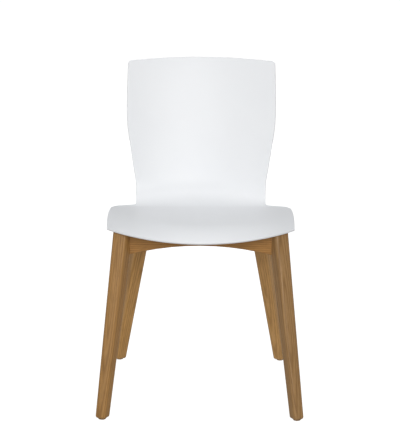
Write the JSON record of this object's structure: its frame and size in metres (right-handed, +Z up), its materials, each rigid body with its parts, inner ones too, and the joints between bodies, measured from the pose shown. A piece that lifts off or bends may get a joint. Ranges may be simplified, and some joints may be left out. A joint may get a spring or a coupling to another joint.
{
  "type": "dining chair",
  "caption": "Dining chair with a waisted one-piece white plastic shell on a frame of tapered, splayed oak legs with an arched front rail.",
  "frame": {"origin": "middle of the chair's bounding box, on the floor under the glides", "axes": "+Z up, the sitter faces -Y, +X to the right when the chair is seen from its front"},
  "size_m": [0.4978, 0.5014, 0.82],
  "materials": {
    "white_plastic": "satin moulded polypropylene with a very fine grain",
    "oak": "clear satin lacquer on solid oak, grain along each piece",
    "beech": "plain fluted beech dowel, unfinished",
    "zinc_steel": "zinc plated steel",
    "brass": "turned brass",
    "nylon": "matt grey nylon"
  },
  "bodies": {
    "root": {"block_screw_front_left_end": "zinc_steel", "block_screw_front_left_side": "zinc_steel", "block_screw_front_right_end": "zinc_steel", "block_screw_front_right_side": "zinc_steel", "block_screw_rear_left_end": "zinc_steel", "block_screw_rear_left_side": "zinc_steel", "block_screw_rear_right_end": "zinc_steel", "block_screw_rear_right_side": "zinc_steel", "corner_block_front_left": "oak", "corner_block_front_right": "oak", "corner_block_rear_left": "oak", "corner_block_rear_right": "oak", "dowel_front_at_front_left_1": "beech", "dowel_front_at_front_left_2": "beech", "dowel_front_at_front_right_1": "beech", "dowel_front_at_front_right_2": "beech", "dowel_left_at_front_left_1": "beech", "dowel_left_at_front_left_2": "beech", "dowel_left_at_rear_left_1": "beech", "dowel_left_at_rear_left_2": "beech", "dowel_rear_at_rear_left_1": "beech", "dowel_rear_at_rear_left_2": "beech", "dowel_rear_at_rear_right_1": "beech", "dowel_rear_at_rear_right_2": "beech", "dowel_right_at_front_right_1": "beech", "dowel_right_at_front_right_2": "beech", "dowel_right_at_rear_right_1": "beech", "dowel_right_at_rear_right_2": "beech", "glide_front_left": "nylon", "glide_front_right": "nylon", "glide_nail_front_left": "zinc_steel", "glide_nail_front_right": "zinc_steel", "glide_nail_rear_left": "zinc_steel", "glide_nail_rear_right": "zinc_steel", "glide_rear_left": "nylon", "glide_rear_right": "nylon", "leg_front_left": "oak", "leg_front_right": "oak", "leg_rear_left": "oak", "leg_rear_right": "oak", "rail_front": "oak", "rail_left": "oak", "rail_rear": "oak", "rail_right": "oak", "seat_shell": "white_plastic", "shell_screw_front_left": "zinc_steel", "shell_screw_front_right": "zinc_steel", "shell_screw_rear_left": "zinc_steel", "shell_screw_rear_right": "zinc_steel", "threaded_insert_front_left": "brass", "threaded_insert_front_right": "brass", "threaded_insert_rear_left": "brass", "threaded_insert_rear_right": "brass", "washer_front_left": "zinc_steel", "washer_front_right": "zinc_steel", "washer_rear_left": "zinc_steel", "washer_rear_right": "zinc_steel"}
  },
  "joints": []
}
